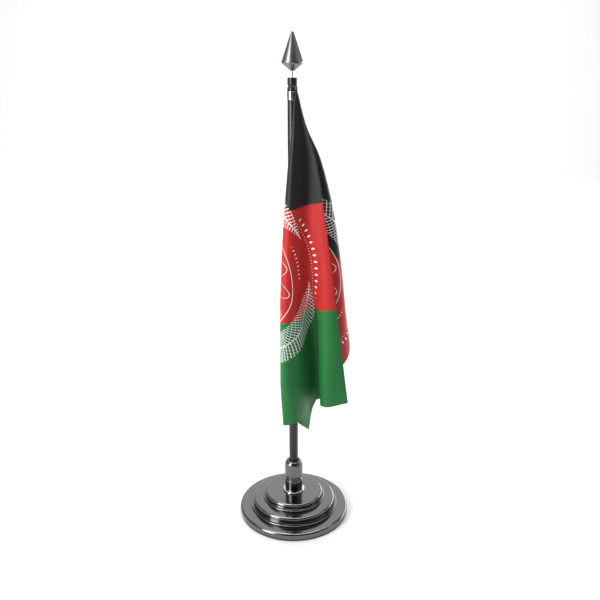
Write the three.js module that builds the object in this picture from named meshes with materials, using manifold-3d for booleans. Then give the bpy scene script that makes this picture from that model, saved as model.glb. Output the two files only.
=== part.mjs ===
// Desk flag stand: a stepped round base, a slim pole held by a clamp nut, and a flag hung by its
// upper hoist corner from a groove in the pole's cap. Millimetres, +Z up, the pole on the Z axis.
import * as THREE from 'three';
import { mergeVertices } from 'three/addons/utils/BufferGeometryUtils.js';
import Module from 'manifold-3d';

const wasm = await Module();
wasm.setup();

// ---- Driving dimensions ----
const PAD = { radius: 49.7, thickness: 1.2 };
const LOWER_DISC = { radius: 50, foot: 50, top: 7.0, rim: 1.7 };
const MIDDLE_DISC = { radius: 37.7, foot: 40.0, top: 14.7, rim: 1.3 };
const UPPER_DISC = { radius: 26.5, foot: 28.4, top: 20.9, rim: 1.2 };
const BEAD_HEIGHT = 1.1;

const POLE = { radius: 4.0, wall: 0.8, bottom: 24.0, top: 372.7 };
const RUNNING_GAP = 0.1;

const SOCKET = { radius: 7.9, shoulder: 33.0, neckRadius: 6.8, neckTop: 36.0 };
const SPIGOT = { radius: 5.6, top: 44.0 };
const FOOT_RING = { inner: 7.95, outer: 9.9, height: 1.5 };

const NUT = { radius: 8.25, bottom: 36.1, shoulder: 46.6, top: 52.4, lip: 5.4, mouth: 4.6 };
const NUT_CAVITY = { radius: 5.75, top: 49.6 };
const COLLET = { outer: 5.3, inner: 4.1, bottom: 44.2, top: 48.0, slit: 1.0 };
const THRUST_RING = { outer: 5.4, inner: 4.3, bottom: 48.2, top: 49.5 };

const BOLT = { shank: 3.0, head: 5.0, headHeight: 3.4, headBottom: 1.7, top: 19.5 };
const WASHER = { outer: 7.0, thickness: 0.9 };
const RECESS = { radius: 8.0, top: 6.0 };
const BOLT_HOLE = 3.2;

const COLLAR = { radius: 4.5, bottom: 372.7, top: 379.3 };
const CAP = { radius: 4.0, bottom: 379.3, grooveLow: 382.2, grooveHigh: 383.9, grooveDepth: 1.15, top: 389.3 };
const STUD = { radius: 1.07, bottom: 366.0, top: 398.0 };
const PLUG_LENGTH = 9.0;
const FINIAL = { bottom: 394.3, widest: 400.7, radius: 8.5, tip: 423.0, shoulder: 2.0, apex: 1.2 };

const LOOP = { cord: 0.45, radius: 3.75, height: 383.05 };
const WHIPPING = { radius: 1.2, top: 382.8, bottom: 380.5, x: 2.9, y: -4.9 };

const FLAG = { fly: 280, hoist: 187, thickness: 0.8, apex: [4.0, -6.6, 383.0], start: 17 };

const ROUND = 48;
const SMALL_ROUND = 32;

// ---- Materials ----
function metal(colour, roughness) {
  return new THREE.MeshStandardMaterial({ color: colour, roughness, metalness: 1.0 });
}

function plain(colour, roughness) {
  return new THREE.MeshStandardMaterial({ color: colour, roughness, metalness: 0.0 });
}

const polishedNickel = metal(0x77787a, 0.12);
const chrome = metal(0xd0d2d4, 0.06);
const gunmetal = metal(0x47484a, 0.32);
const zincSteel = metal(0xa2a4a6, 0.4);
const spearMetal = metal(0x5c5d60, 0.1);
const blackRubber = plain(0x1c1c1d, 0.85);
const nylon = plain(0xd8d5cc, 0.5);
const cordThread = plain(0x2a2a2a, 0.8);
const satin = plain(0x1e6a34, 0.45);

// ---- Shape helpers ----
function arc(centreR, centreZ, radius, fromDegrees, toDegrees, steps) {
  const points = [];
  for (let i = 0; i <= steps; i += 1) {
    const angle = THREE.MathUtils.degToRad(fromDegrees + ((toDegrees - fromDegrees) * i) / steps);
    points.push([centreR + radius * Math.cos(angle), centreZ + radius * Math.sin(angle)]);
  }
  return points;
}

// Turns a profile of [radius, height] points about the Z axis. The points run up the outside and
// back down the inside, or up from the axis and back to it.
function turned(profile, segments) {
  const points = profile.map(([radius, height]) => new THREE.Vector2(radius, height));
  const geometry = new THREE.LatheGeometry(points, segments);
  geometry.rotateX(Math.PI / 2);
  return geometry;
}

function closedRing(profile) {
  return [...profile, profile[0]];
}

function solid(geometry) {
  const bare = geometry.clone();
  bare.deleteAttribute('normal');
  bare.deleteAttribute('uv');
  const merged = mergeVertices(bare);
  const triangles = new Uint32Array(merged.index.array);
  const vertices = new Float32Array(merged.attributes.position.array);
  return new wasm.Manifold(new wasm.Mesh({ numProp: 3, vertProperties: vertices, triVerts: triangles }));
}

function fromSolid(body) {
  const mesh = body.getMesh();
  const geometry = new THREE.BufferGeometry();
  geometry.setAttribute('position', new THREE.BufferAttribute(new Float32Array(mesh.vertProperties), 3));
  geometry.setIndex(new THREE.BufferAttribute(new Uint32Array(mesh.triVerts), 1));
  geometry.computeVertexNormals();
  return geometry;
}

const model = new THREE.Group();

function add(name, geometry, material) {
  const mesh = new THREE.Mesh(geometry, material);
  mesh.name = name;
  model.add(mesh);
  return mesh;
}

// ---- Base ----
// A disc of the stepped base: a raised bead at its foot, an upright side and a rounded rim.
function stepDisc(disc, bottom, boreRadius) {
  const bead = disc.foot > disc.radius
    ? arc(disc.foot - BEAD_HEIGHT / 2, bottom + BEAD_HEIGHT / 2, BEAD_HEIGHT / 2, -90, 90, 4)
    : arc(disc.radius - 0.8, bottom + 0.8, 0.8, -90, 0, 3);
  const side = disc.foot > disc.radius ? [[disc.radius, bottom + BEAD_HEIGHT]] : [];
  const rim = arc(disc.radius - disc.rim, disc.top - disc.rim, disc.rim, 0, 90, 5);
  return [...bead, ...side, ...rim, [boreRadius, disc.top], [boreRadius, bottom]];
}

function basePad() {
  const { radius, thickness } = PAD;
  return turned([[0, 0], [radius, 0], [radius, thickness], [0, thickness]], ROUND);
}

function lowerDisc() {
  const profile = stepDisc(LOWER_DISC, PAD.thickness, BOLT_HOLE);
  profile.pop();
  profile.push([BOLT_HOLE, RECESS.top], [RECESS.radius, RECESS.top], [RECESS.radius, PAD.thickness]);
  return turned(closedRing(profile), ROUND);
}

function upperStep(disc, bottom) {
  return turned(closedRing(stepDisc(disc, bottom, BOLT_HOLE)), ROUND);
}

function washer() {
  const top = RECESS.top;
  const bottom = top - WASHER.thickness;
  const ring = [[BOLT_HOLE, bottom], [WASHER.outer, bottom], [WASHER.outer, top], [BOLT_HOLE, top]];
  return turned(closedRing(ring), SMALL_ROUND);
}

// A hexagon-head bolt, standing on its head, screwed up into the socket.
function baseBolt() {
  const headTop = RECESS.top - WASHER.thickness;
  const chamfer = 0.4;
  const head = turned([
    [0, headTop - BOLT.headHeight],
    [BOLT.head - chamfer, headTop - BOLT.headHeight],
    [BOLT.head, headTop - BOLT.headHeight + chamfer],
    [BOLT.head, headTop],
    [0, headTop],
  ], 6);
  const buried = 1.0;
  const shank = turned([
    [0, headTop - buried],
    [BOLT.shank, headTop - buried],
    [BOLT.shank, BOLT.top + 5 - chamfer],
    [BOLT.shank - chamfer, BOLT.top + 5],
    [0, BOLT.top + 5],
  ], SMALL_ROUND);
  return fromSolid(solid(head).add(solid(shank)));
}

// ---- Socket, collet and clamp nut ----
function footRing() {
  const base = UPPER_DISC.top;
  const bulge = FOOT_RING.height / 2;
  return turned(closedRing([
    [FOOT_RING.inner, base],
    ...arc(FOOT_RING.outer - bulge, base + bulge, bulge, -90, 90, 6),
    [FOOT_RING.inner, base + FOOT_RING.height],
  ]), SMALL_ROUND);
}

// The socket is blind: the base bolt screws in from below and the pole drops in from above.
function socketBody() {
  const base = UPPER_DISC.top;
  const bore = POLE.radius + RUNNING_GAP;
  const rim = 0.5;
  const boltHole = BOLT.shank + RUNNING_GAP;
  const floor = BOLT.top + 5.1;
  return turned(closedRing([
    [boltHole, base],
    [SOCKET.radius, base],
    ...arc(SOCKET.radius - rim, SOCKET.shoulder - rim, rim, 0, 90, 3),
    [SOCKET.neckRadius, SOCKET.shoulder],
    [SOCKET.neckRadius, SOCKET.neckTop],
    [SPIGOT.radius, SOCKET.neckTop],
    [SPIGOT.radius, SPIGOT.top - rim],
    [SPIGOT.radius - rim, SPIGOT.top],
    [bore, SPIGOT.top],
    [bore, floor],
    [boltHole, floor],
  ]), SMALL_ROUND);
}

// A collet is a short sleeve with one slit, so that the nut can close it on the pole.
function gripCollet() {
  const taper = 0.5;
  const sleeve = turned(closedRing([
    [COLLET.inner, COLLET.bottom],
    [COLLET.outer, COLLET.bottom],
    [COLLET.outer, COLLET.top - taper],
    [COLLET.outer - taper, COLLET.top],
    [COLLET.inner, COLLET.top],
  ]), SMALL_ROUND);
  const height = COLLET.top - COLLET.bottom;
  const slit = new THREE.BoxGeometry(COLLET.outer * 2, COLLET.slit, height * 2);
  slit.translate(COLLET.outer, 0, COLLET.bottom + height / 2);
  return fromSolid(solid(sleeve).subtract(solid(slit)));
}

function thrustRing() {
  const { inner, outer, bottom, top } = THRUST_RING;
  return turned(closedRing([[inner, bottom], [outer, bottom], [outer, top], [inner, top]]), SMALL_ROUND);
}

// The clamp nut is acorn shaped: upright below, then a long rounded shoulder up to its lip.
function clampNut() {
  const chamfer = 0.5;
  const shoulder = new THREE.SplineCurve([
    new THREE.Vector2(NUT.radius, NUT.shoulder),
    new THREE.Vector2(NUT.radius - 0.35, NUT.shoulder + 2.0),
    new THREE.Vector2(NUT.radius - 1.3, NUT.shoulder + 4.0),
    new THREE.Vector2(NUT.lip, NUT.top - 0.25),
  ]).getPoints(8).map((point) => [point.x, point.y]);
  return turned(closedRing([
    [NUT_CAVITY.radius, NUT.bottom],
    [NUT.radius - chamfer, NUT.bottom],
    [NUT.radius, NUT.bottom + chamfer],
    ...shoulder,
    [NUT.lip - 0.3, NUT.top],
    [NUT.mouth, NUT.top],
    [NUT.mouth, NUT_CAVITY.top],
    [NUT_CAVITY.radius, NUT_CAVITY.top],
  ]), SMALL_ROUND);
}

// ---- Pole and its top ----
function poleTube() {
  const inner = POLE.radius - POLE.wall;
  return turned(closedRing([
    [inner, POLE.bottom + 1.5],
    [POLE.radius, POLE.bottom + 1.5],
    [POLE.radius, POLE.top],
    [inner, POLE.top],
  ]), SMALL_ROUND);
}

// A flanged plug closes the lower end of the tube and sits on the socket's floor.
function poleFootPlug() {
  const inner = POLE.radius - POLE.wall - 0.05;
  const flange = POLE.bottom + 1.5;
  const floor = BOLT.top + 5.1;
  return turned([
    [0, floor],
    [POLE.radius - 0.3, floor],
    [POLE.radius, floor + 0.3],
    [POLE.radius, flange],
    [inner, flange],
    [inner, flange + PLUG_LENGTH],
    [0, flange + PLUG_LENGTH],
  ], SMALL_ROUND);
}

// A threaded plug in the upper end of the tube takes the finial's stud.
function poleTopPlug() {
  const inner = POLE.radius - POLE.wall - 0.05;
  const hole = STUD.radius + 0.05;
  return turned(closedRing([
    [hole, POLE.top - PLUG_LENGTH],
    [inner, POLE.top - PLUG_LENGTH],
    [inner, POLE.top],
    [hole, POLE.top],
  ]), SMALL_ROUND);
}

function topCollar() {
  const edge = 0.35;
  const hole = STUD.radius + 0.05;
  return turned(closedRing([
    [hole, COLLAR.bottom],
    [COLLAR.radius - edge, COLLAR.bottom],
    [COLLAR.radius, COLLAR.bottom + edge],
    [COLLAR.radius, COLLAR.top - edge],
    [COLLAR.radius - edge, COLLAR.top],
    [hole, COLLAR.top],
  ]), SMALL_ROUND);
}

function poleCap() {
  const round = 0.8;
  const hole = STUD.radius + 0.05;
  const grooveMiddle = (CAP.grooveLow + CAP.grooveHigh) / 2;
  return turned(closedRing([
    [hole, CAP.bottom],
    [CAP.radius, CAP.bottom],
    [CAP.radius, CAP.grooveLow],
    [CAP.radius - CAP.grooveDepth, grooveMiddle],
    [CAP.radius, CAP.grooveHigh],
    ...arc(CAP.radius - round, CAP.top - round, round, 0, 90, 4),
    [hole, CAP.top],
  ]), SMALL_ROUND);
}

function finialStud() {
  const { radius, bottom, top } = STUD;
  return turned([[0, bottom], [radius, bottom], [radius, top], [0, top]], SMALL_ROUND);
}

// The finial is a turned spear: a short cone below its widest line, a long cone above it, a soft
// shoulder between them and a rounded tip.
function finial() {
  const hole = STUD.radius + 0.05;
  const upperAngle = Math.atan2(FINIAL.radius, FINIAL.tip - FINIAL.widest);
  const lowerAngle = Math.atan2(FINIAL.radius - STUD.radius, FINIAL.widest - FINIAL.bottom);
  const lowNormal = -THREE.MathUtils.radToDeg(lowerAngle);
  const highNormal = THREE.MathUtils.radToDeg(upperAngle);
  const shoulderR = FINIAL.radius - FINIAL.shoulder;
  const apexZ = FINIAL.tip - FINIAL.apex;
  return turned([
    [0, STUD.top + 0.1],
    [hole, STUD.top + 0.1],
    [hole, FINIAL.bottom],
    [STUD.radius + 0.5, FINIAL.bottom],
    ...arc(shoulderR, FINIAL.widest, FINIAL.shoulder, lowNormal, highNormal, 8),
    ...arc(0, apexZ, FINIAL.apex, highNormal, 90, 5),
  ], SMALL_ROUND);
}

// ---- Flag ----
// The thread loop lies in the cap's groove, and its tail holds the flag by its upper hoist corner.
function topLoop() {
  const ring = new THREE.TorusGeometry(LOOP.radius, LOOP.cord, 8, SMALL_ROUND);
  ring.translate(0, 0, LOOP.height);
  const outward = Math.hypot(WHIPPING.x, WHIPPING.y);
  const start = new THREE.Vector3(WHIPPING.x, WHIPPING.y, 0).multiplyScalar(LOOP.radius / outward);
  start.z = LOOP.height;
  const end = new THREE.Vector3(WHIPPING.x, WHIPPING.y, WHIPPING.top + LOOP.cord);
  const run = new THREE.Vector3().subVectors(end, start);
  const tail = new THREE.CylinderGeometry(LOOP.cord * 0.9, LOOP.cord * 0.9, run.length() + LOOP.cord, 8);
  const upright = new THREE.Vector3(0, 1, 0);
  tail.applyQuaternion(new THREE.Quaternion().setFromUnitVectors(upright, run.clone().normalize()));
  const middle = start.clone().lerp(end, 0.5);
  tail.translate(middle.x, middle.y, middle.z);
  return fromSolid(solid(ring).add(solid(tail)));
}

// The corner is bound with thread just under the loop.
function cornerWhipping() {
  const { radius, top, bottom, x, y } = WHIPPING;
  const edge = 0.4;
  const binding = turned([
    [0, bottom],
    [radius - edge, bottom],
    [radius, bottom + edge],
    [radius, top - edge],
    [radius - edge, top],
    [0, top],
  ], 16);
  binding.translate(x, y, 0);
  return binding;
}

// The flag hangs from one corner, so every straight line of cloth from that corner stays nearly
// straight. A line is named by its angle in the flat flag: 0 along the upper edge, 90 down the
// hoist. Each row gives the plan position [x, y] of the folds at one distance from the corner.
const FOLD_ANGLES = [0, 3, 6, 10, 13, 17.5, 22.5, 28, 36, 44, 51, 59, 68, 76, 83, 90];
const FOLD_ROWS = [
  { distance: 15, folds: [
    [6.2, -7.6], [5.6, -8.2], [4.9, -8.6], [4.0, -8.4], [3.2, -8.9], [2.0, -9.6], [0.9, -8.8], [1.6, -7.6],
    [3.2, -6.6], [5.2, -6.0], [7.0, -5.0], [8.6, -3.2], [7.0, -3.4], [8.0, -1.2], [6.4, -1.2], [5.4, 0.6]] },
  { distance: 60, folds: [
    [19.0, -6.0], [17.0, -9.0], [14.5, -10.5], [11.0, -9.0], [8.5, -10.0], [3.5, -12.5], [-2.8, -11.5], [-1.0, -7.5],
    [6.0, -6.0], [14.0, -3.0], [21.5, 0.0], [19.0, 7.5], [12.5, 3.5], [11.5, 11.0], [7.0, 8.0], [5.6, 1.5]] },
  { distance: 110, folds: [
    [26.3, -3], [23, -8], [18.5, -11], [13, -7], [9, -9], [1.5, -14.5], [-7, -11], [-3, -6.5],
    [9, -7], [22, -1], [33, 8], [30, 21], [20, 10], [17, 22], [9, 15], [5.8, 2.5]] },
  { distance: 187, folds: [
    [36.9, 1], [32, -8], [25, -13], [17, -5], [11.5, -8], [1, -19], [-11, -13], [-5, -7],
    [12, -8], [28, 1], [42, 15], [40, 38], [27, 17], [18, 38], [8, 22], [6, 3.5]] },
  { distance: 255, folds: [
    [45.2, 2], [38, -6], [27, -9], [18, 3], [12, -4], [2, -19], [-11, -14], [-6, -8],
    [10, -7], [29, 3], [50, 24], [48, 46], [32, 24], [20, 44], [9, 26], [6, 4]] },
  { distance: 340, folds: [
    [54, 4], [40, -3], [25, -3], [18, 10], [11, 0], [-1, -18], [-8.5, -13], [0, -8],
    [15, -5], [32, 6], [54, 28], [50, 50], [34, 28], [22, 48], [10, 28], [6, 5]] },
];
// How much of each line's length is left after the small ripples along it.
const FOLD_REACH = [
  0.985, 0.98, 0.97, 0.985, 0.975, 0.965, 0.94, 0.9,
  0.89, 0.95, 1, 0.99, 0.985, 0.985, 0.985, 0.985];
const FLAG_COLUMNS = 44;
const FLAG_ROWS = 14;

function foldShare(degrees) {
  const upper = Math.max(1, FOLD_ANGLES.findIndex((angle) => angle >= degrees));
  const share = (degrees - FOLD_ANGLES[upper - 1]) / (FOLD_ANGLES[upper] - FOLD_ANGLES[upper - 1]);
  return { fold: upper - 1, share };
}

function foldedPlan(distance, degrees) {
  const upper = Math.max(1, FOLD_ROWS.findIndex((row) => row.distance >= distance));
  const low = FOLD_ROWS[upper - 1];
  const high = FOLD_ROWS[upper];
  const between = (distance - low.distance) / (high.distance - low.distance);
  const points = low.folds.map(([x, y], i) => new THREE.Vector3(
    THREE.MathUtils.lerp(x, high.folds[i][0], between),
    THREE.MathUtils.lerp(y, high.folds[i][1], between),
    0,
  ));
  const curve = new THREE.CatmullRomCurve3(points, false, 'catmullrom', 0.5);
  const { fold, share } = foldShare(degrees);
  const t = (fold + share) / (FOLD_ANGLES.length - 1);
  return { point: curve.getPoint(t), tangent: curve.getTangent(t) };
}

// One point of the cloth, half its thickness to one side (+1 or -1) of its middle surface.
function flagPoint(column, row, side) {
  const degrees = (90 * column) / FLAG_COLUMNS;
  const angle = THREE.MathUtils.degToRad(degrees);
  const reach = Math.min(FLAG.fly / Math.max(Math.cos(angle), 1e-6), FLAG.hoist / Math.max(Math.sin(angle), 1e-6));
  const distance = FLAG.start + ((reach - FLAG.start) * row) / FLAG_ROWS;
  const { point, tangent } = foldedPlan(distance, degrees);
  const aside = Math.hypot(point.x - FLAG.apex[0], point.y - FLAG.apex[1]);
  const { fold, share } = foldShare(degrees);
  const reachShare = THREE.MathUtils.lerp(FOLD_REACH[fold], FOLD_REACH[fold + 1], share);
  const drop = Math.sqrt((reachShare * distance) ** 2 - aside ** 2);
  const offset = (side * FLAG.thickness) / 2;
  return [point.x + tangent.y * offset, point.y - tangent.x * offset, FLAG.apex[2] - drop];
}

function flagCloth() {
  const across = FLAG_COLUMNS + 1;
  const down = FLAG_ROWS + 1;
  const positions = [];
  for (const side of [-1, 1]) {
    for (let row = 0; row < down; row += 1) {
      for (let column = 0; column < across; column += 1) {
        positions.push(...flagPoint(column, row, side));
      }
    }
  }
  const index = (side, column, row) => side * across * down + row * across + column;
  const triangles = [];
  const quad = (a, b, c, d) => triangles.push(a, b, c, a, c, d);
  for (let row = 0; row < FLAG_ROWS; row += 1) {
    for (let column = 0; column < FLAG_COLUMNS; column += 1) {
      const here = [column, row];
      const beside = [column + 1, row];
      const below = [column, row + 1];
      const opposite = [column + 1, row + 1];
      quad(index(0, ...here), index(0, ...beside), index(0, ...opposite), index(0, ...below));
      quad(index(1, ...here), index(1, ...below), index(1, ...opposite), index(1, ...beside));
    }
  }
  for (let column = 0; column < FLAG_COLUMNS; column += 1) {
    quad(index(1, column, 0), index(1, column + 1, 0), index(0, column + 1, 0), index(0, column, 0));
    quad(index(0, column, FLAG_ROWS), index(0, column + 1, FLAG_ROWS),
      index(1, column + 1, FLAG_ROWS), index(1, column, FLAG_ROWS));
  }
  for (let row = 0; row < FLAG_ROWS; row += 1) {
    quad(index(0, 0, row), index(0, 0, row + 1), index(1, 0, row + 1), index(1, 0, row));
    quad(index(1, FLAG_COLUMNS, row), index(1, FLAG_COLUMNS, row + 1),
      index(0, FLAG_COLUMNS, row + 1), index(0, FLAG_COLUMNS, row));
  }
  const geometry = new THREE.BufferGeometry();
  geometry.setAttribute('position', new THREE.Float32BufferAttribute(positions, 3));
  geometry.setIndex(triangles);
  geometry.computeVertexNormals();
  return geometry;
}

// ---- Assembly ----
add('felt_pad', basePad(), blackRubber);
add('base_disc_lower', lowerDisc(), polishedNickel);
add('base_disc_middle', upperStep(MIDDLE_DISC, LOWER_DISC.top), polishedNickel);
add('base_disc_upper', upperStep(UPPER_DISC, MIDDLE_DISC.top), polishedNickel);
add('base_washer', washer(), zincSteel);
add('base_bolt', baseBolt(), zincSteel);
add('socket_foot_ring', footRing(), chrome);
add('socket_body', socketBody(), polishedNickel);
add('grip_collet', gripCollet(), nylon);
add('thrust_ring', thrustRing(), nylon);
add('clamp_nut', clampNut(), polishedNickel);
add('pole_foot_plug', poleFootPlug(), blackRubber);
add('pole_tube', poleTube(), gunmetal);
add('pole_top_plug', poleTopPlug(), zincSteel);
add('top_collar', topCollar(), chrome);
add('pole_cap', poleCap(), gunmetal);
add('finial_stud', finialStud(), chrome);
add('finial', finial(), spearMetal);
add('top_loop', topLoop(), cordThread);
add('corner_whipping', cornerWhipping(), cordThread);
add('flag_cloth', flagCloth(), satin);

export default model;
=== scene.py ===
"""Desk flag stand: a stepped nickel base, a clamped pole with a spear finial, and a flag hung in
folds from the pole's cap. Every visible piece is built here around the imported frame, in metres."""
import math

import bpy
import numpy as np
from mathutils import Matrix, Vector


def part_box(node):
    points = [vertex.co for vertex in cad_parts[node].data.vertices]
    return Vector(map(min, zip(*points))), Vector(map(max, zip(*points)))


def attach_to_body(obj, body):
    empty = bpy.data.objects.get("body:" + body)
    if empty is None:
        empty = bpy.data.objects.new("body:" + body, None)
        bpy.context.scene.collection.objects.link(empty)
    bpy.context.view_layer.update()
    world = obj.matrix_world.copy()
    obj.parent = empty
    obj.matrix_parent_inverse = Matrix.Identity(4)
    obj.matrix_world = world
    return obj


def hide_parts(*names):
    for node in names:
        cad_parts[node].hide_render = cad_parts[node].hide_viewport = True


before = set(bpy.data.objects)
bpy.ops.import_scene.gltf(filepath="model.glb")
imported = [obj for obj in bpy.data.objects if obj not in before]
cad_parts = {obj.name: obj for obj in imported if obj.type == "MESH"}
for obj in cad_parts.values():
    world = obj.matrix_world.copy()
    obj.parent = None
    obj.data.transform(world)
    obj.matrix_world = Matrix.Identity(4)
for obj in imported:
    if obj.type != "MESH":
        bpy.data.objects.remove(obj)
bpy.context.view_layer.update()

MM = 0.001


# ---------------------------------------------------------------- camera, light and floor

CAMERA_PLACE = (0.005816, -0.582103, 0.411672)
CAMERA_TILT = 70.719
FLOOR_FRONT, FLOOR_HALF_WIDTH = -3.0, 3.5
CURVE_START, CURVE_RADIUS, CURVE_STEPS = 1.6, 0.8, 12
AREA_LIGHTS = (
    # name, place, target, size, power
    ("softbox_left", (-1.2, -0.95, 0.75), (0.0, 0.0, 0.2), (0.6, 1.4), 30),
    ("softbox_right", (1.7, -0.2, 0.8), (0.0, 0.0, 0.2), (0.4, 1.2), 1.5),
    ("overhead", (0.0, 0.2, 2.2), (0.0, 0.1, 0.0), (1.6, 1.6), 33),
    ("backdrop_wash", (0.0, 0.7, 2.3), (0.0, 2.4, 0.9), (3.0, 0.6), 38),
    ("rear_right", (1.3, 1.25, 0.3), (0.0, 0.0, 0.03), (1.8, 0.5), 17),
    ("rear_panel", (0.0, 1.9, 1.45), (0.0, 0.0, 0.0), (2.6, 1.3), 10.5),
)


def add_camera():
    camera = bpy.data.cameras.new("camera")
    camera.sensor_width = 36.0
    camera.lens = 43.44
    camera.dof.use_dof = False
    holder = bpy.data.objects.new("camera", camera)
    holder.location = CAMERA_PLACE
    holder.rotation_euler = (math.radians(CAMERA_TILT), 0.0, 0.0)
    bpy.context.scene.collection.objects.link(holder)
    bpy.context.scene.camera = holder


def add_area_light(name, place, target, size, power):
    light = bpy.data.lights.new(name, "AREA")
    light.shape = "RECTANGLE"
    light.size, light.size_y = size
    light.energy = power
    holder = bpy.data.objects.new(name, light)
    holder.location = place
    direction = np.array(target, float) - np.array(place, float)
    flat = math.hypot(direction[0], direction[1])
    holder.rotation_euler = (math.atan2(flat, -direction[2]), 0.0,
                             math.atan2(direction[1], direction[0]) - math.pi / 2)
    bpy.context.scene.collection.objects.link(holder)


def stage_mesh(name, corners, faces, material):
    mesh = bpy.data.meshes.new(name)
    mesh.from_pydata(corners, [], faces)
    mesh.materials.append(material)
    thing = bpy.data.objects.new(name, mesh)
    bpy.context.scene.collection.objects.link(thing)
    return thing


def plain_material(name, colour, roughness):
    material = bpy.data.materials.new(name)
    material.use_nodes = True
    shader = material.node_tree.nodes["Principled BSDF"]
    shader.inputs["Base Color"].default_value = (*colour, 1.0)
    shader.inputs["Roughness"].default_value = roughness
    return material


def add_stage():
    """A pale floor that curves up into a low backdrop, and two dark cards for the metal to reflect."""
    profile = [(FLOOR_FRONT, 0.0), (CURVE_START, 0.0)]
    for step in range(1, CURVE_STEPS + 1):
        angle = math.radians(90 * step / CURVE_STEPS)
        profile.append((CURVE_START + CURVE_RADIUS * math.sin(angle), CURVE_RADIUS * (1 - math.cos(angle))))
    corners = [(side * FLOOR_HALF_WIDTH, y, z) for y, z in profile for side in (-1, 1)]
    faces = [(2 * i, 2 * i + 1, 2 * i + 3, 2 * i + 2) for i in range(len(profile) - 1)]
    floor = stage_mesh("floor", corners, faces, plain_material("stage_pale", (0.7, 0.7, 0.7), 0.9))
    for face in floor.data.polygons:
        face.use_smooth = True

    dark = plain_material("stage_dark", (0.04, 0.04, 0.04), 0.9)
    behind_camera = [(-0.7, -1.5, 0.1), (1.5, -1.5, 0.1), (1.5, -1.5, 2.0), (-0.7, -1.5, 2.0)]
    just_above_floor = [(0.2, -1.4, 0.002), (1.4, -1.4, 0.002), (1.4, -0.1, 0.002), (0.2, -0.1, 0.002)]
    dark_card("card_behind_camera", behind_camera, dark)
    dark_card("card_on_floor", just_above_floor, dark)


def dark_card(name, corners, material):
    """A dark card seen only in the polished metal; it neither shades anything nor shows itself."""
    card = stage_mesh(name, corners, [(0, 1, 2, 3)], material)
    card.visible_camera = False
    card.visible_shadow = False
    card.visible_diffuse = False


def add_world():
    world = bpy.data.worlds.new("studio")
    world.use_nodes = True
    world.node_tree.nodes["Background"].inputs["Color"].default_value = (0.38, 0.38, 0.38, 1.0)
    world.node_tree.nodes["Background"].inputs["Strength"].default_value = 1.0
    bpy.context.scene.world = world
    bpy.context.scene.view_settings.view_transform = "Standard"


add_camera()
add_world()
add_stage()
for light_settings in AREA_LIGHTS:
    add_area_light(*light_settings)


# ---------------------------------------------------------------- material tools

class Value:
    """A number that varies over a surface, written with ordinary operators."""

    def __init__(self, tree, socket):
        self.tree = tree
        self.socket = socket

    def math(self, operation, *others):
        node = self.tree.nodes.new("ShaderNodeMath")
        node.operation = operation
        for place, item in zip(node.inputs, (self, *others)):
            if isinstance(item, Value):
                self.tree.links.new(item.socket, place)
            else:
                place.default_value = item
        return Value(self.tree, node.outputs[0])

    def __add__(self, other):
        return self.math("ADD", other)

    def __sub__(self, other):
        return self.math("SUBTRACT", other)

    def __mul__(self, other):
        return self.math("MULTIPLY", other)

    def __truediv__(self, other):
        return self.math("DIVIDE", other)

    def size(self):
        return self.math("ABSOLUTE")

    def most(self, other):
        return self.math("MAXIMUM", other)

    def ramp(self, start, end):
        """0 below start, 1 above end, smooth between; start may be above end."""
        node = self.tree.nodes.new("ShaderNodeMapRange")
        node.interpolation_type = "SMOOTHSTEP"
        low, high = (start, end) if start < end else (end, start)
        node.inputs["From Min"].default_value = low
        node.inputs["From Max"].default_value = high
        node.inputs["To Min"].default_value = 0.0 if start < end else 1.0
        node.inputs["To Max"].default_value = 1.0 if start < end else 0.0
        self.tree.links.new(self.socket, node.inputs["Value"])
        return Value(self.tree, node.outputs["Result"])

    def line(self, half_width, soft):
        """1 where this value is within half_width of 0, fading over soft."""
        return self.size().ramp(half_width + soft, half_width - soft)


class Surface:
    """A Principled material and the nodes that drive it."""

    def __init__(self, name, colour, roughness, metallic=0.0):
        self.material = bpy.data.materials.new(name)
        self.material.use_nodes = True
        self.tree = self.material.node_tree
        self.shader = self.tree.nodes["Principled BSDF"]
        self.set("Base Color", (*colour, 1.0))
        self.set("Roughness", roughness)
        self.set("Metallic", metallic)

    def set(self, name, value):
        self.shader.inputs[name].default_value = value

    def drive(self, name, value):
        self.tree.links.new(value.socket, self.shader.inputs[name])

    def node(self, kind, **settings):
        node = self.tree.nodes.new("ShaderNode" + kind)
        for key, value in settings.items():
            if key in node.inputs:
                node.inputs[key].default_value = value
            else:
                setattr(node, key, value)
        return node

    def place(self):
        return self.node("TexCoord").outputs["Object"]

    def noise(self, scale, detail=3.0, roughness=0.5, at=None, stretch=None):
        node = self.node("TexNoise", Scale=scale, Detail=detail, Roughness=roughness)
        source = at or self.place()
        if stretch:
            mapping = self.node("Mapping", Scale=stretch)
            self.tree.links.new(source, mapping.inputs["Vector"])
            source = mapping.outputs["Vector"]
        self.tree.links.new(source, node.inputs["Vector"])
        return Value(self.tree, node.outputs[0])

    def tint(self, amount, first, second):
        """A colour between first and second."""
        node = self.node("Mix", data_type="RGBA")
        for key, item in ((6, first), (7, second)):
            if isinstance(item, tuple):
                node.inputs[key].default_value = (*item, 1.0)
            else:
                self.tree.links.new(item, node.inputs[key])
        self.tree.links.new(amount.socket, node.inputs[0])
        return node.outputs[2]

    def colour(self, output):
        self.tree.links.new(output, self.shader.inputs["Base Color"])

    def bump(self, height, depth, strength=1.0):
        node = self.node("Bump", Distance=depth, Strength=strength)
        self.tree.links.new(height.socket, node.inputs["Height"])
        self.tree.links.new(node.outputs["Normal"], self.shader.inputs["Normal"])


def scaled(colour, factor):
    return tuple(min(1.0, channel * factor) for channel in colour)


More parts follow.
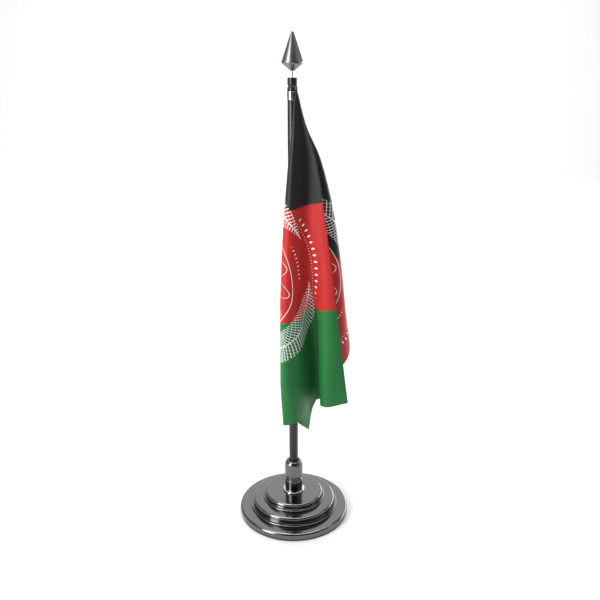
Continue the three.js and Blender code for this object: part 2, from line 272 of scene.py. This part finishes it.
def polished_metal(name, colour, roughness, haze=0.03):
    """Plated and buffed metal: faint clouds in the gloss, and fine bands of it round the turned shape."""
    surface = Surface(name, colour, roughness, metallic=1.0)
    clouds = surface.noise(90.0, detail=4.0)
    hairlines = surface.noise(60.0, detail=2.0, stretch=(1.0, 1.0, 60.0))
    surface.drive("Roughness", clouds * haze + hairlines * haze + (roughness - haze))
    surface.colour(surface.tint(clouds, scaled(colour, 0.92), scaled(colour, 1.06)))
    surface.bump(clouds, 0.00001, strength=0.05)
    return surface.material


def soft_plastic(name, colour, roughness):
    """Moulded or foamed plastic and rubber with a fine grain."""
    surface = Surface(name, colour, roughness)
    grains = surface.noise(400.0, detail=5.0)
    surface.drive("Roughness", grains * 0.15 + (roughness - 0.07))
    surface.colour(surface.tint(grains, scaled(colour, 0.8), scaled(colour, 1.25)))
    surface.bump(grains, 0.00008, strength=0.5)
    return surface.material


def satin_lacquer(name, colour, roughness):
    """Lacquered steel tube: a metallic ground with fine speckle and a thin clear coat."""
    surface = Surface(name, colour, roughness, metallic=0.85)
    surface.set("Coat Weight", 0.25)
    surface.set("Coat Roughness", 0.18)
    speckle = surface.noise(1500.0, detail=2.0)
    clouds = surface.noise(40.0, detail=3.0, stretch=(1.0, 1.0, 0.25))
    surface.drive("Roughness", clouds * 0.1 + (roughness - 0.05))
    surface.colour(surface.tint(speckle, scaled(colour, 0.8), scaled(colour, 1.3)))
    surface.bump(speckle, 0.00001, strength=0.4)
    return surface.material


def thread_material(name, colour):
    """Twisted thread: fine fibres along it and a soft sheen."""
    surface = Surface(name, colour, 0.75)
    surface.set("Sheen Weight", 0.4)
    surface.set("Sheen Roughness", 0.5)
    fibres = surface.noise(3000.0, detail=3.0)
    surface.colour(surface.tint(fibres, scaled(colour, 0.6), scaled(colour, 1.8)))
    surface.bump(fibres, 0.00005, strength=0.6)
    return surface.material


# ---------------------------------------------------------------- the flag's printed satin

FLY = 280.0
HOIST = 187.0
STRIPE_COLOURS = ((0.009, 0.009, 0.0095), (0.42, 0.011, 0.008), (0.005, 0.135, 0.026))
INK = (0.9, 0.9, 0.9)
SPRAY_RADIUS, SPRAY_HALF_WIDTH, SPRAY_LEAVES = 69.0, 12.5, 78.0
PETALS = 6.0
RING_RADII = (7.0, 49.0)
SOFT_EDGE = 0.25


def rosette(along, across):
    """White line work on the middle of the flag, as 0..1: two sprays of leaves towards the outer
    stripes, arcs of small marks between them, and petals round a star."""
    far = (along * along + across * across).math("SQRT")
    turn = across.math("ARCTAN2", along)
    endwise = (along / far).size()
    return leaf_sprays(turn, far, endwise).most(rows_of_marks(turn, far, endwise)).most(medallion(turn, far))


def leaf_sprays(turn, far, endwise):
    from_stem = far - SPRAY_RADIUS
    half_width = endwise.ramp(0.25, 0.8) * SPRAY_HALF_WIDTH
    inside = (half_width - from_stem.size()).ramp(0.0, SOFT_EDGE)
    leaves = (turn * SPRAY_LEAVES + from_stem.size() * 0.5).math("SINE").line(0.3, 0.2)
    veins = (turn * (SPRAY_LEAVES / 2) - from_stem.size() * 0.9).math("SINE").line(0.12, 0.14)
    stem = from_stem.line(0.3, SOFT_EDGE)
    return leaves.most(veins).most(stem) * inside


def rows_of_marks(turn, far, endwise):
    outer = arc_of_marks(turn, far, radius=78.0, count=84.0, half_size=1.5)
    middle = arc_of_marks(turn, far, radius=73.5, count=168.0, half_size=0.45)
    inner = arc_of_marks(turn, far, radius=58.0, count=96.0, half_size=0.9)
    return (outer.most(middle) * endwise.ramp(0.50, 0.44)).most(inner * endwise.ramp(0.3, 0.26))


def medallion(turn, far):
    wave = (turn * PETALS).math("COSINE").size()
    petals = (far - (wave * 19.0 + 27.0)).line(0.3, SOFT_EDGE)
    inner_petals = (far - (wave * 12.0 + 24.0)).line(0.2, SOFT_EDGE)
    star = (far - ((turn * 8.0).math("COSINE") * 4.0 + 15.0)).line(0.3, SOFT_EDGE)
    small_ring = (far - RING_RADII[0]).line(0.4, SOFT_EDGE)
    large_ring = (far - RING_RADII[1]).line(0.25, SOFT_EDGE)
    return small_ring.most(large_ring).most(petals).most(inner_petals).most(star)


def arc_of_marks(turn, far, radius, count, half_size):
    """Small diamonds round a circle, as 0..1."""
    cell = (turn * (count / (2 * math.pi))).math("FRACT") - 0.5
    sideways = cell * far * (2 * math.pi / count)
    spread = sideways.size() * 1.5 + (far - radius).size() * 0.75
    return spread.ramp(half_size + SOFT_EDGE, half_size - SOFT_EDGE)


def flag_material():
    surface = Surface("flag_satin", STRIPE_COLOURS[1], 0.5)
    surface.set("Sheen Weight", 0.12)
    surface.set("Sheen Roughness", 0.35)
    surface.set("Specular IOR Level", 0.32)
    surface.set("Sheen Tint", (1.0, 1.0, 1.0, 1.0))
    cloth_map = surface.node("UVMap", uv_map="cloth")
    split = surface.node("SeparateXYZ")
    surface.tree.links.new(cloth_map.outputs["UV"], split.inputs["Vector"])
    fly_share = Value(surface.tree, split.outputs["X"])
    hoist_share = Value(surface.tree, split.outputs["Y"])
    along = (fly_share - 0.5) * FLY
    across = (hoist_share - 0.5) * HOIST

    half_stripe, blur = FLY / 6, 0.15
    black, red, green = STRIPE_COLOURS
    to_red = (along + half_stripe).ramp(-blur, blur)
    to_green = (along - half_stripe).ramp(-blur, blur)
    ground = surface.tint(to_green, surface.tint(to_red, black, red), green)
    mottle = surface.noise(45.0, detail=2.0, at=cloth_map.outputs["UV"])
    ink = rosette(along, across) * (mottle * 0.2 + 0.88)
    surface.colour(surface.tint(ink, ground, INK))

    yarn_pitch = 0.32
    floats = (along * (2 * math.pi / yarn_pitch) + across * (0.35 * math.pi / yarn_pitch)).math("SINE")
    ends = (across * (2 * math.pi / yarn_pitch)).math("SINE")
    weave = floats * 0.5 + ends * 0.35
    surface.drive("Roughness", mottle * 0.1 + 0.4)
    surface.bump(weave + ink * 0.8, 0.00003, strength=0.35)
    return surface.material


# ---------------------------------------------------------------- mesh tools

def finished(name, vertices, faces, material, sharp=None):
    mesh = bpy.data.meshes.new(name)
    mesh.from_pydata([tuple(float(c) for c in v) for v in vertices], [], faces)
    mesh.validate()
    mesh.materials.append(material)
    for face in mesh.polygons:
        face.use_smooth = True
    if sharp is not None:
        mesh.set_sharp_from_angle(angle=math.radians(sharp))
    thing = bpy.data.objects.new(name, mesh)
    bpy.context.scene.collection.objects.link(thing)
    return thing


def attach(piece, body, slot, *nodes):
    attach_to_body(piece, body)
    if nodes:
        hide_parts(*nodes)
    return piece


def arc(centre_r, centre_z, radius, start, end, steps):
    """Points on a circle in the profile plane, from start to end degrees."""
    points = []
    for step in range(steps + 1):
        angle = math.radians(start + (end - start) * step / steps)
        points.append((centre_r + radius * math.cos(angle), centre_z + radius * math.sin(angle)))
    return points


def lathe(name, profile, material, segments=96):
    """A closed profile in millimetres, turned about the pole's axis. It runs up the outside and
    down the inside; a point at radius 0 is a single vertex."""
    rings = []
    vertices = []
    for radius, height in profile:
        if radius < 1e-6:
            rings.append([len(vertices)] * segments)
            vertices.append((0.0, 0.0, height * MM))
        else:
            rings.append(list(range(len(vertices), len(vertices) + segments)))
            for k in range(segments):
                angle = 2 * math.pi * k / segments
                vertices.append((radius * MM * math.cos(angle), radius * MM * math.sin(angle), height * MM))
    open_ended = profile[0][0] < 1e-6 and profile[-1][0] < 1e-6
    pairs = list(zip(rings, rings[1:])) + ([] if open_ended else [(rings[-1], rings[0])])
    faces = []
    for low, high in pairs:
        for k in range(segments):
            following = (k + 1) % segments
            corners = [low[k], low[following], high[following], high[k]]
            face = [v for i, v in enumerate(corners) if v not in corners[:i]]
            if len(face) > 2:
                faces.append(face)
    return finished(name, vertices, faces, material, sharp=38)


def thread(name, strands, radius, material, cyclic=False):
    """Round threads along lists of points in millimetres, as one mesh."""
    curve = bpy.data.curves.new(name, "CURVE")
    curve.dimensions = "3D"
    curve.bevel_depth = radius * MM
    curve.bevel_resolution = 3
    curve.use_fill_caps = True
    for points in strands:
        spline = curve.splines.new("POLY")
        spline.points.add(len(points) - 1)
        for place, (x, y, z) in zip(spline.points, points):
            place.co = (x * MM, y * MM, z * MM, 1.0)
        spline.use_cyclic_u = cyclic
    holder = bpy.data.objects.new(name, curve)
    bpy.context.scene.collection.objects.link(holder)
    bpy.context.view_layer.update()
    mesh = bpy.data.meshes.new_from_object(holder.evaluated_get(bpy.context.evaluated_depsgraph_get()))
    bpy.data.objects.remove(holder)
    mesh.materials.clear()
    mesh.materials.append(material)
    for face in mesh.polygons:
        face.use_smooth = True
    thing = bpy.data.objects.new(name, mesh)
    bpy.context.scene.collection.objects.link(thing)
    return thing


# ---------------------------------------------------------------- base

dark_nickel = polished_metal("dark_nickel", (0.155, 0.156, 0.158), 0.16)
bright_nickel = polished_metal("bright_nickel", (0.5, 0.505, 0.51), 0.16)
spear_nickel = polished_metal("spear_nickel", (0.21, 0.211, 0.214), 0.34)
zinc_steel = polished_metal("zinc_steel", (0.5, 0.51, 0.52), 0.35, haze=0.1)
gunmetal = satin_lacquer("gunmetal", (0.03, 0.031, 0.033), 0.36)
pad_foam = soft_plastic("pad_foam", (0.035, 0.035, 0.037), 0.9)
black_rubber = soft_plastic("black_rubber", (0.03, 0.03, 0.03), 0.7)
nylon = soft_plastic("nylon", (0.72, 0.7, 0.64), 0.45)
loop_thread = thread_material("loop_thread", (0.04, 0.04, 0.042))
flag_satin = flag_material()

BOLT_HOLE = 3.2
BEAD = 1.3


def box_mm(node):
    """A node's outer radius, lowest and highest level, in millimetres."""
    low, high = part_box(node)
    return (high.y - low.y) / 2 / MM, low.z / MM, high.z / MM


def step_disc(node, waist, rim):
    """A disc of the base: a bead at its foot, a side that flares out to it, and a rounded rim."""
    foot, bottom, top = box_mm(node)
    bead = arc(foot - BEAD / 2, bottom + BEAD / 2, BEAD / 2, -90, 110, 12)
    profile = [
        *bead,
        (waist + 0.25, bottom + BEAD + 0.05),
        (waist, bottom + BEAD + 0.9),
        *arc(waist - rim, top - rim, rim, 0, 90, 14),
        (BOLT_HOLE, top),
        (BOLT_HOLE, bottom),
    ]
    piece = lathe(node + "_turned", profile, dark_nickel, segments=192)
    attach(piece, "base", "dark_nickel", node)


def lower_disc():
    node = "base_disc_lower"
    radius, bottom, top = box_mm(node)
    rim, foot = 2.3, 0.8
    recess_radius, recess_top = 8.0, box_mm("base_washer")[2]
    profile = [
        *arc(radius - foot, bottom + foot, foot, -90, 0, 8),
        *arc(radius - rim, top - rim, rim, 0, 90, 14),
        (BOLT_HOLE, top),
        (BOLT_HOLE, recess_top),
        (recess_radius, recess_top),
        (recess_radius, bottom),
    ]
    attach(lathe(node + "_turned", profile, dark_nickel, segments=192), "base", "dark_nickel", node)


def base_pad():
    radius, bottom, top = box_mm("felt_pad")
    edge = 0.3
    profile = [(0, bottom), *arc(radius - edge, bottom + edge, edge, -90, 0, 5),
               *arc(radius - edge, top - edge, edge, 0, 90, 5), (0, top)]
    attach(lathe("pad_cut", profile, pad_foam, segments=160), "base", "pad", "felt_pad")


def foot_ring():
    node = "socket_foot_ring"
    radius, bottom, top = box_mm(node)
    bulge = (top - bottom) / 2
    hole = box_mm("socket_body")[0] + 0.05
    profile = [*arc(radius - bulge, bottom + bulge, bulge, -90, 90, 16), (hole, top), (hole, bottom)]
    attach(lathe(node + "_turned", profile, bright_nickel), "base", "bright_nickel", node)


def socket():
    node = "socket_body"
    radius, bottom, top = box_mm(node)
    rim, shoulder, neck, neck_top = 0.5, top - 11.0, 6.8, top - 8.0
    spigot, bore, bolt_hole, floor = 5.6, 4.1, 3.1, box_mm("pole_foot_plug")[1]
    profile = [
        (bolt_hole, bottom),
        (radius, bottom),
        (radius, shoulder - 2.2),
        (radius - 0.18, shoulder - 2.05),
        (radius - 0.18, shoulder - 1.75),
        (radius, shoulder - 1.6),
        *arc(radius - rim, shoulder - rim, rim, 0, 90, 6),
        (neck + 0.3, shoulder),
        (neck, shoulder + 0.3),
        (neck, neck_top),
        (spigot, neck_top),
        (spigot, top - rim),
        (spigot - rim, top),
        (bore, top),
        (bore, floor),
        (bolt_hole, floor),
    ]
    attach(lathe(node + "_turned", profile, dark_nickel), "base", "dark_nickel", node)


def clamp_nut():
    node = "clamp_nut"
    radius, bottom, top = box_mm(node)
    shoulder, lip, mouth = top - 5.8, 5.4, 4.6
    cavity, cavity_top = 5.75, box_mm("thrust_ring")[2] + 0.1
    height = top - 0.25 - shoulder
    dome = []
    for step in range(1, 20):
        angle = math.pi / 2 * step / 20
        dome.append((lip + (radius - lip) * math.cos(angle) ** 0.85,
                     shoulder + height * math.sin(angle) ** 1.1))
    profile = [
        (cavity, bottom),
        *arc(radius - 0.4, bottom + 0.4, 0.4, -90, 0, 5),
        (radius, bottom + 1.2),
        (radius - 0.15, bottom + 1.35),
        (radius - 0.15, bottom + 1.6),
        (radius, bottom + 1.75),
        (radius, shoulder),
        *dome,
        *arc(lip - 0.3, top - 0.3, 0.3, 20, 90, 4),
        (mouth + 0.25, top),
        (mouth, top - 0.25),
        (mouth, cavity_top),
        (cavity, cavity_top),
    ]
    attach(lathe(node + "_turned", profile, dark_nickel), "nut", "dark_nickel", node)


def keep_cad_node(node, material):
    """A piece that is hidden or nearly so keeps its CAD shape and gets its finish here."""
    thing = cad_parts[node]
    thing.data.materials.clear()
    thing.data.materials.append(material)


base_pad()
lower_disc()
step_disc("base_disc_middle", waist=37.7, rim=2.0)
step_disc("base_disc_upper", waist=26.5, rim=1.9)
foot_ring()
socket()
clamp_nut()
for hidden_node, finish_material in (
    ("base_washer", zinc_steel),
    ("base_bolt", zinc_steel),
    ("grip_collet", nylon),
    ("thrust_ring", nylon),
    ("pole_top_plug", zinc_steel),
    ("finial_stud", bright_nickel),
):
    keep_cad_node(hidden_node, finish_material)


# ---------------------------------------------------------------- pole, cap and finial

STUD_HOLE = 1.12
GROOVE_LOW, GROOVE_HIGH = 2.9, 4.6


def pole_tube():
    radius, bottom, top = box_mm("pole_tube")
    inner, edge = radius - 0.8, 0.15
    profile = [(inner, bottom), *arc(radius - edge, bottom + edge, edge, -90, 0, 3),
               *arc(radius - edge, top - edge, edge, 0, 90, 3), (inner, top)]
    attach(lathe("pole_tube_drawn", profile, gunmetal), "pole", "gunmetal", "pole_tube")


def foot_plug():
    radius, bottom, top = box_mm("pole_foot_plug")
    flange, stem = box_mm("pole_tube")[1], 3.15
    profile = [(0, bottom), *arc(radius - 0.5, bottom + 0.5, 0.5, -90, 0, 6), (radius, flange),
               (stem, flange), *arc(stem - 0.3, top - 0.3, 0.3, 0, 90, 4), (0, top)]
    attach(lathe("pole_foot_plug_moulded", profile, black_rubber), "pole", "black_rubber", "pole_foot_plug")


def top_collar():
    node = "top_collar"
    radius, bottom, top = box_mm(node)
    edge, hole = 0.35, STUD_HOLE
    profile = [(hole, bottom), *arc(radius - edge, bottom + edge, edge, -90, 0, 6),
               *arc(radius - edge, top - edge, edge, 0, 90, 6), (hole, top)]
    attach(lathe(node + "_turned", profile, bright_nickel), "pole", "bright_nickel", node)


def pole_cap():
    node = "pole_cap"
    radius, bottom, top = box_mm(node)
    low, high = bottom + GROOVE_LOW, bottom + GROOVE_HIGH
    middle = (low + high) / 2
    depth, rim, hole = 1.15, 0.9, STUD_HOLE
    profile = [
        (hole, bottom), (radius - 0.1, bottom), (radius, bottom + 0.1),
        *arc(radius - 0.2, low - 0.2, 0.2, 0, 50, 4),
        (radius - depth, middle),
        *arc(radius - 0.2, high + 0.2, 0.2, -50, 0, 4),
        *arc(radius - rim, top - rim, rim, 0, 90, 10),
        (hole, top),
    ]
    attach(lathe(node + "_turned", profile, gunmetal), "pole", "gunmetal", node)


def finial():
    node = "finial"
    radius, bottom, top = box_mm(node)
    widest, stud, shoulder, apex = bottom + 6.4, 1.07, 2.0, 1.2
    high_normal = math.degrees(math.atan2(radius, top - widest))
    low_normal = -math.degrees(math.atan2(radius - stud, widest - bottom))
    hole_top = box_mm("finial_stud")[2] + 0.1
    profile = [
        (0, hole_top), (STUD_HOLE, hole_top), (STUD_HOLE, bottom), (stud + 0.5, bottom),
        *arc(radius - shoulder, widest, shoulder, low_normal, high_normal, 24),
        *arc(0, top - apex, apex, high_normal, 90, 12)[:-1],
        (0, top),
    ]
    attach(lathe(node + "_turned", profile, spear_nickel, segments=128), "pole", "spear_nickel", node)


pole_tube()
foot_plug()
top_collar()
pole_cap()
finial()


# ---------------------------------------------------------------- thread at the flag's top corner

def twisted(path, strands, lay, offset):
    """Centrelines of strands laid round a path, each with one full turn every lay millimetres."""
    path = np.array(path, float)
    run = np.concatenate([[0.0], np.cumsum(np.linalg.norm(np.diff(path, axis=0), axis=1))])
    forward = np.gradient(path, axis=0)
    forward /= np.linalg.norm(forward, axis=1)[:, None]
    never_along_path = (0.12, 0.08, 1.0)
    side = np.cross(forward, never_along_path)
    side /= np.linalg.norm(side, axis=1)[:, None]
    lift = np.cross(side, forward)
    lines = []
    for strand in range(strands):
        phase = (2 * math.pi * (run / lay + strand / strands))[:, None]
        lines.append(path + offset * (np.cos(phase) * side + np.sin(phase) * lift))
    return lines


def joined(corners, spacing):
    """Points about every spacing millimetres along the straight runs between corners."""
    corners = np.array(corners, float)
    run = np.concatenate([[0.0], np.cumsum(np.linalg.norm(np.diff(corners, axis=0), axis=1))])
    at = np.linspace(0.0, run[-1], int(run[-1] / spacing))
    return np.stack([np.interp(at, run, corners[:, k]) for k in range(3)], axis=1)


def top_loop(corner):
    """Two turns of twisted thread in the cap's groove, with both ends led down to the flag's corner."""
    cap_bottom = box_mm("pole_cap")[1]
    groove_radius, low_turn, high_turn = 3.3, cap_bottom + 3.45, cap_bottom + 4.1
    toward = math.atan2(corner[1], corner[0])
    spread, steps = math.radians(38), 140
    turns = []
    for step in range(steps + 1):
        share = step / steps
        angle = toward + spread + (4 * math.pi - 2 * spread) * share
        turns.append((groove_radius * math.cos(angle), groove_radius * math.sin(angle),
                      low_turn + (high_turn - low_turn) * share))
    knot = (corner[0] * 0.97, corner[1] * 0.97, corner[2] - 0.1)
    inside = (corner[0], corner[1], corner[2] - 1.2)
    path = joined([inside, knot, *turns, knot, inside], spacing=0.12)
    piece = thread("top_loop_thread", twisted(path, strands=2, lay=1.5, offset=0.19), 0.2, loop_thread)
    attach(piece, "flag", "thread", "top_loop")


def corner_whipping():
    """Close turns of thread that bind the flag's corner, with a small knot on top."""
    low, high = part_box("corner_whipping")
    centre = (low + high) / 2 / MM
    radius, wire, turns, steps_a_turn = (high.x - low.x) / 2 / MM - 0.2, 0.21, 6, 28
    bottom, top = low.z / MM + wire, high.z / MM - wire
    coil = []
    for step in range(turns * steps_a_turn + 1):
        angle = 2 * math.pi * step / steps_a_turn
        share = step / (turns * steps_a_turn)
        waist = radius * (0.82 + 0.18 * math.sin(math.pi * share))
        coil.append((centre.x + waist * math.cos(angle), centre.y + waist * math.sin(angle),
                     bottom + (top - bottom) * share))
    knot = []
    knot_steps = 48
    for step in range(knot_steps + 1):
        angle = 2 * math.pi * step / knot_steps
        knot.append((centre.x + 0.62 * math.cos(angle), centre.y + 0.45 * math.sin(2 * angle),
                     top + 0.32 + 0.25 * math.sin(angle * 3)))
    piece = thread("corner_whipping_thread", [coil, knot], wire, loop_thread)
    return attach(piece, "flag", "thread", "corner_whipping")


# ---------------------------------------------------------------- flag cloth

# The flag hangs from its upper corner on the pole side. A fold line runs straight from that corner
# at an angle in the flat flag, 0 along the free upper edge and 90 down the edge beside the pole.
# Each has the share of its length that it spans when hung, and its places seen from above, in
# millimetres, at FOLD_DISTANCES from the corner.
FOLD_DISTANCES = (15, 30, 60, 110, 150, 200, 255, 300, 340)
FOLDS = (
    # free upper edge, its strip facing the left
    (0, 0.982, ((5.9, -7.3), (9.8, -7.4), (18.6, -8.4), (26.3, -9.5),
              (32, -10), (38.4, -8.5), (45.2, -4.5), (51, -2), (55, 0))),
    (2.5, 0.981, ((5.5, -7), (8.9, -6.8), (16.7, -7.2), (22.3, -8.4),
              (26.8, -9.4), (31.2, -9.8), (35.6, -7.5), (40, -3.5), (44, 0))),
    (5, 0.98, ((5, -7), (8, -6.7), (14.6, -6.5), (18.2, -6.9),
              (21.6, -6), (25, -7), (26.8, -6.8), (29.5, -3.5), (32, 0))),
    # valley of the front layer
    (7.2, 0.978, ((4.5, -7.2), (7.2, -6.9), (12.5, -6.3), (14.6, -5.6),
              (17.2, -2.8), (21.2, -1), (23.4, 1), (24.8, 4.5), (26, 8))),
    (9.2, 0.976, ((4.1, -7.5), (6.4, -7.3), (10.6, -6.8), (11.6, -5.4),
              (13.2, -1.9), (21.3, 5.8), (28, 8.5), (31, 12), (34, 15))),
    (11, 0.974, ((3.7, -7.8), (5.7, -7.8), (8.9, -7.6), (8.9, -6.6),
              (9.4, -4.2), (15.5, 6.8), (22.5, 13), (25, 16.5), (28, 20))),
    (13.5, 0.971, ((3.1, -8.3), (4.6, -8.6), (6.6, -9), (5.4, -9.6),
              (5, -9.4), (9.5, 0.4), (13.8, 8.5), (17, 13), (20, 17))),
    # left roll, then the left fold
    (16.7, 0.97, ((2.3, -8.9), (3.1, -9.8), (3.4, -11.2), (0.5, -13.4),
              (-0.8, -14.8), (4, -9.6), (7.6, -4.5), (11.5, 1.5), (16, 6))),
    (19.7, 0.962, ((1.2, -9.2), (1, -10.6), (-1.2, -12.4), (-4.6, -13.8),
              (-6.8, -15.2), (-6.6, -16.6), (-4.5, -16), (3, -11.3), (8, -7))),
    (22.5, 0.951, ((0.5, -8.2), (-0.3, -8.4), (-3.3, -8.8), (-7.3, -9.4),
              (-9.5, -10.4), (-11, -11.6), (-11, -12.6), (-8.2, -13.6), (-5, -14))),
    # reverse side, bent round the front of the pole
    (25.5, 0.922, ((1, -7.5), (0.5, -7.4), (-2.4, -7), (-5.4, -6.7),
              (-7, -7.4), (-8.4, -7.8), (-8.8, -8), (-6.8, -9), (-4, -9.5))),
    (29, 0.9, ((1.9, -7.2), (1.6, -7.2), (0.4, -6.6), (-0.5, -5.8),
              (-0.5, -5.8), (-1.5, -6), (-2, -6.4), (1.5, -7), (4.5, -6.5))),
    (33, 0.898, ((2.8, -6.7), (3.3, -6.5), (3.9, -5.8), (4.6, -4.6),
              (5.4, -3.4), (6.2, -3), (6.6, -1.9), (8.5, -0.5), (12.5, 3))),
    # reverse side, behind the front layer's valley
    (37, 0.928, ((3.7, -6.3), (5, -5.9), (7.4, -4.6), (9, -2.6),
              (9.5, 1.2), (11, 7), (11, 11.5), (15.2, 14.3), (23, 15))),
    (41, 0.95, ((4.5, -5.9), (6.6, -5.3), (11.2, -3.4), (14, -1),
              (16, 3.8), (19, 12.5), (23, 19), (30, 20), (34, 22))),
    (45.5, 0.965, ((5.3, -5.4), (8.4, -4.7), (15.8, -2), (22, 2.5),
              (25, 5.5), (30, 10), (36, 14), (42, 16), (45, 18))),
    # right fold
    (51, 1, ((6.1, -4.9), (10.2, -3.6), (22, 0.3), (33.5, 7.5),
              (39.3, 11), (45, 16), (51.5, 24), (53, 27), (55, 29))),
    # back layer, out behind and back to the pole
    (57, 0.99, ((6.5, -3.9), (10.4, -1.2), (20.5, 5.6), (31.5, 17),
              (37, 25), (43, 33), (50, 44), (52, 50), (54, 52))),
    (63, 0.985, ((6.3, -3.1), (9.4, 0), (15.5, 4.6), (23, 14),
              (27, 20), (33, 26), (40, 34), (43, 38), (45, 40))),
    (69, 0.985, ((6, -2.6), (8.2, 0.2), (12.5, 4.8), (18, 10),
              (20, 14), (25, 20), (31, 28), (34, 33), (36, 35))),
    (75, 0.985, ((6.4, -1.6), (8.1, 3), (11.5, 10), (17, 20),
              (18, 28), (22, 38), (26, 46), (29, 50), (31, 52))),
    (80, 0.985, ((6.2, -1), (7.3, 3.4), (8.5, 9.5), (12, 19),
              (12, 26), (13, 36), (16, 42), (18, 44), (20, 46))),
    (85, 0.985, ((5.8, -0.4), (6.2, 2.4), (6.8, 5.5), (8, 11),
              (7.5, 14), (8, 20), (9, 24), (10, 26), (11, 28))),
    # edge beside the pole
    (90, 0.985, ((5.3, 0.6), (5.3, 1), (5.6, 1.5), (5.8, 2.5),
              (5.9, 3), (6, 3.6), (6, 4), (6, 4.6), (6, 5))),
)
CLOTH_COLUMNS, CLOTH_ROWS = 224, 150
CLOTH_THICKNESS = 0.35
CLOTH_GAP = 0.45


def hung_corner():
    """The flag's upper corner: just over the middle of the thread that binds it."""
    low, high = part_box("corner_whipping")
    return np.array((*((low + high) / 2 / MM).xy, high.z / MM + 0.2))


CORNER = hung_corner()


def monotone(knots, values, at):
    """Values carried along the knots by a smooth curve that never overshoots (Fritsch-Carlson)."""
    knots = np.asarray(knots, float)
    values = np.asarray(values, float)
    gap = np.diff(knots)[:, None]
    slope = np.diff(values, axis=0) / gap
    first, second = 2 * gap[1:] + gap[:-1], gap[1:] + 2 * gap[:-1]
    same_way = slope[1:] * slope[:-1] > 0
    before, after = np.where(same_way, slope[:-1], 1.0), np.where(same_way, slope[1:], 1.0)
    inner = np.where(same_way, (first + second) / (first / before + second / after), 0.0)
    tangent = np.vstack([slope[:1], inner, slope[-1:]])
    k = np.clip(np.searchsorted(knots, at) - 1, 0, len(knots) - 2)
    width = gap[k]
    t = ((at - knots[k]) / gap[k, 0])[:, None]
    return ((2 * t**3 - 3 * t**2 + 1) * values[k] + (t**3 - 2 * t**2 + t) * width * tangent[k]
            + (3 * t**2 - 2 * t**3) * values[k + 1] + (t**3 - t**2) * width * tangent[k + 1])


def natural_weights(knots, at):
    """How much each knot counts at each place on a natural cubic spline through all the knots."""
    knots = np.asarray(knots, float)
    count = len(knots)
    gap = np.diff(knots)
    system, right = np.eye(count), np.zeros((count, count))
    for k in range(1, count - 1):
        system[k, k - 1:k + 2] = gap[k - 1], 2 * (gap[k - 1] + gap[k]), gap[k]
        right[k, k - 1:k + 2] = 6 / gap[k - 1], -6 / gap[k - 1] - 6 / gap[k], 6 / gap[k]
    bend = np.linalg.solve(system, right)
    k = np.clip(np.searchsorted(knots, at) - 1, 0, count - 2)
    width = gap[k]
    after = (at - knots[k]) / width
    before = 1 - after
    weights = np.zeros((len(at), count))
    weights[np.arange(len(at)), k] += before
    weights[np.arange(len(at)), k + 1] += after
    weights += ((before**3 - before) * width**2 / 6)[:, None] * bend[k]
    weights += ((after**3 - after) * width**2 / 6)[:, None] * bend[k + 1]
    return weights


def hung(fly, hoist):
    """Where points of the flat flag come to rest: fly and hoist in millimetres from its lower edge
    and from the edge beside the pole."""
    down = HOIST - hoist
    distance = np.hypot(fly, down)
    angle = np.degrees(np.arctan2(down, np.maximum(fly, 1e-9)))
    angles, reaches, places = zip(*FOLDS)
    knots = (0, *FOLD_DISTANCES)
    lines = np.array([(tuple(CORNER[:2]), *line) for line in places])
    carried = monotone(knots, lines.transpose(1, 0, 2).reshape(len(knots), -1), distance)
    weights = natural_weights(angles, angle)
    plan = np.einsum("nk,nkc->nc", weights, carried.reshape(len(fly), len(FOLDS), 2))
    reach = monotone(angles, np.array(reaches, float)[:, None], angle)[:, 0]
    aside = np.hypot(plan[:, 0] - CORNER[0], plan[:, 1] - CORNER[1])
    least_drop = 0.25 * distance
    drop = np.sqrt(np.maximum((reach * distance) ** 2 - aside**2, least_drop**2))
    height = CORNER[2] - drop
    return np.column_stack([clear_of_pole(plan, height), height])


def clear_of_pole(plan, height):
    """Cloth that would come within CLOTH_GAP of the pole or its collar is pushed straight out."""
    tube_radius = box_mm("pole_tube")[0]
    collar_radius, collar_bottom, _ = box_mm("top_collar")
    at_collar = np.clip((height - collar_bottom + 0.3) / 2, 0, 1)
    clear = tube_radius + CLOTH_GAP + (collar_radius - tube_radius) * at_collar
    from_axis = np.hypot(plan[:, 0], plan[:, 1])
    return plan * np.maximum(1.0, clear / np.maximum(from_axis, 1e-6))[:, None]


def flag_cloth(whipping):
    columns = np.linspace(0, FLY, CLOTH_COLUMNS + 1)
    rows = np.linspace(0, HOIST, CLOTH_ROWS + 1)
    fly, hoist = (grid.ravel() for grid in np.meshgrid(columns, rows))
    points = hung(fly, hoist)
    across = CLOTH_COLUMNS + 1
    faces = []
    for row in range(CLOTH_ROWS):
        for column in range(CLOTH_COLUMNS):
            near = row * across + column
            faces.append((near, near + 1, near + 1 + across, near + across))
    piece = finished("flag_satin_cloth", points * MM, faces, flag_satin)
    cloth_map = piece.data.uv_layers.new(name="cloth")
    for loop in piece.data.loops:
        place = loop.vertex_index
        cloth_map.data[loop.index].uv = (fly[place] / FLY, hoist[place] / HOIST)
    body = piece.modifiers.new("thickness", "SOLIDIFY")
    body.thickness = CLOTH_THICKNESS * MM
    body.offset = 0.0
    with bpy.context.temp_override(object=piece, active_object=piece, selected_objects=[piece]):
        bpy.ops.object.modifier_apply(modifier=body.name)
    attach(piece, "flag", "flag_satin", "flag_cloth")


top_loop(CORNER)
flag_cloth(corner_whipping())
